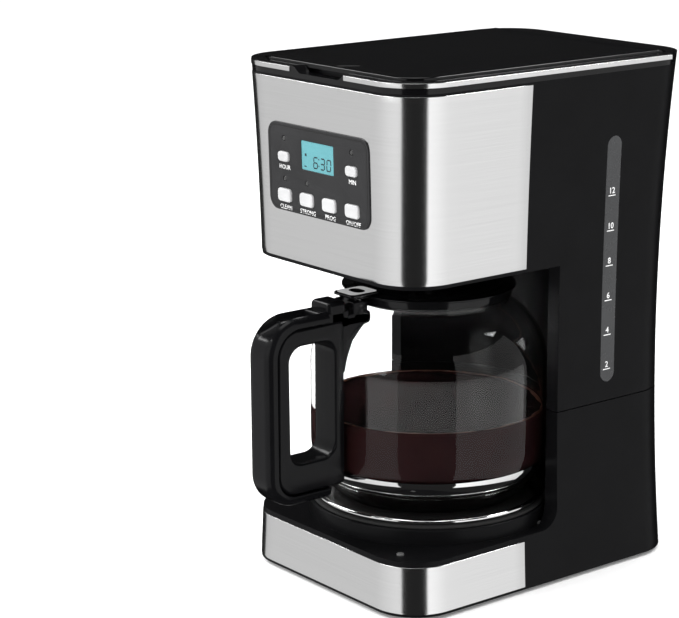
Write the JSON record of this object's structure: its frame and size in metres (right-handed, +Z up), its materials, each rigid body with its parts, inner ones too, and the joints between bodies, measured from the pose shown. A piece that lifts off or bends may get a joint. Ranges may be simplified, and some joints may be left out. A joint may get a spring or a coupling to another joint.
{
  "type": "drip coffee maker",
  "caption": "Drip coffee maker with a lidded water tank, swing-top filter basket, programmable clock panel and a glass carafe docked on a warming plate.",
  "frame": {"origin": "on the table, under the middle of the whole object with its carafe docked", "axes": "+Z up, the front with the control panel and carafe handle faces -Y, the water gauge is on the right side, +X"},
  "size_m": [0.1704, 0.276, 0.328],
  "materials": {
    "housing": "satin",
    "gloss_black": "gloss",
    "handle_black": "gloss",
    "inner_plastic": "moulded",
    "steel": "fine vertical brushing",
    "bright_trim": "fine brushing",
    "polished_band": "polished",
    "fastener": "plated",
    "rubber": "matt",
    "silicone": "matt",
    "tank": "translucent grey",
    "gauge": "smoky translucent",
    "mesh": "fine woven mesh",
    "enamel": "enamel",
    "cast_aluminium": "as cast",
    "circuit": "board",
    "fascia": "satin",
    "clear_window": "clear",
    "display": "backlit",
    "lamp": "translucent",
    "carafe_glass": "clear",
    "key": "satin"
  },
  "bodies": {
    "machine": {"upper_housing": "housing", "lower_housing": "housing", "base_cover": "inner_plastic", "upper_steel_band": "steel", "base_steel_band": "steel", "rubber_feet": "rubber", "case_screws": "fastener", "cord_gland": "rubber", "top_rim": "gloss_black", "trim_strip": "bright_trim", "lid_hinge_pins": "fastener", "top_deck": "inner_plastic", "water_tank": "tank", "gauge_window": "gauge", "tank_strainer": "tank", "brew_chamber": "inner_plastic", "warming_plate": "enamel", "plate_seal": "silicone", "heater_block": "cast_aluminium", "heater_bracket": "fastener", "thermostat": "cast_aluminium", "thermal_fuses": "silicone", "inlet_hose": "silicone", "check_valve": "inner_plastic", "riser_hose": "silicone", "riser_nozzle": "inner_plastic", "power_board": "circuit", "control_fascia": "fascia", "display_window": "clear_window", "display_module": "display", "indicator_lamps": "lamp", "control_board": "circuit"},
    "lid": {"lid": "gloss_black", "lid_liner": "inner_plastic", "shower_head": "inner_plastic"},
    "basket": {"filter_basket": "inner_plastic", "mesh_filter": "mesh"},
    "drip_stop": {"drip_stop_plunger": "inner_plastic", "drip_stop_seal": "silicone", "drip_stop_spring": "fastener"},
    "carafe": {"carafe_glass": "carafe_glass", "carafe_foot_band": "polished_band", "carafe_collar": "gloss_black", "handle_shell": "handle_black", "handle_frame": "handle_black", "carafe_lid_pin": "fastener"},
    "carafe_lid": {"carafe_lid": "gloss_black", "thumb_lever": "gloss_black"},
    "hour_key": {"hour_button": "key"},
    "minute_key": {"minute_button": "key"},
    "clean_key": {"clean_button": "key"},
    "strong_key": {"strong_button": "key"},
    "program_key": {"program_button": "key"},
    "power_key": {"power_button": "key"}
  },
  "joints": [
    {"name": "lid_hinge", "type": "hinge", "parent": "machine", "child": "lid", "pos_m": [0, 0.114, 0.322], "axis": [-1, 0, 0], "range_deg": [0, 98]},
    {"name": "basket_lift", "type": "slide", "parent": "machine", "child": "basket", "axis": [0, 0, 1], "range_m": [0, 0.09]},
    {"name": "drip_stop_slide", "type": "slide", "parent": "basket", "child": "drip_stop", "axis": [0, 0, 1], "range_m": [0, 0.0084], "deforming": ["drip_stop_spring"]},
    {"name": "carafe_slide", "type": "slide", "parent": "machine", "child": "carafe", "axis": [0, -1, 0], "range_m": [0, 0.26]},
    {"name": "carafe_lid_hinge", "type": "hinge", "parent": "carafe", "child": "carafe_lid", "pos_m": [0, -0.07, 0.1808], "axis": [1, 0, 0], "range_deg": [0, 7]},
    {"name": "hour_press", "type": "slide", "parent": "machine", "child": "hour_key", "axis": [0, 0.9997, 0.0253], "range_m": [0, 0.0012], "stiffness_N_per_m": 400},
    {"name": "minute_press", "type": "slide", "parent": "machine", "child": "minute_key", "axis": [0, 0.9997, 0.0253], "range_m": [0, 0.0012], "stiffness_N_per_m": 400},
    {"name": "clean_press", "type": "slide", "parent": "machine", "child": "clean_key", "axis": [0, 0.9997, 0.0253], "range_m": [0, 0.0012], "stiffness_N_per_m": 400},
    {"name": "strong_press", "type": "slide", "parent": "machine", "child": "strong_key", "axis": [0, 0.9997, 0.0253], "range_m": [0, 0.0012], "stiffness_N_per_m": 400},
    {"name": "program_press", "type": "slide", "parent": "machine", "child": "program_key", "axis": [0, 0.9997, 0.0253], "range_m": [0, 0.0012], "stiffness_N_per_m": 400},
    {"name": "power_press", "type": "slide", "parent": "machine", "child": "power_key", "axis": [0, 0.9997, 0.0253], "range_m": [0, 0.0012], "stiffness_N_per_m": 400}
  ],
  "couplings": [
    {"joint": "basket_lift", "follows": "lid_hinge", "m_per_rad": 0.0516},
    {"joint": "drip_stop_slide", "follows": "carafe_lid_hinge", "m_per_rad": 0.067}
  ]
}
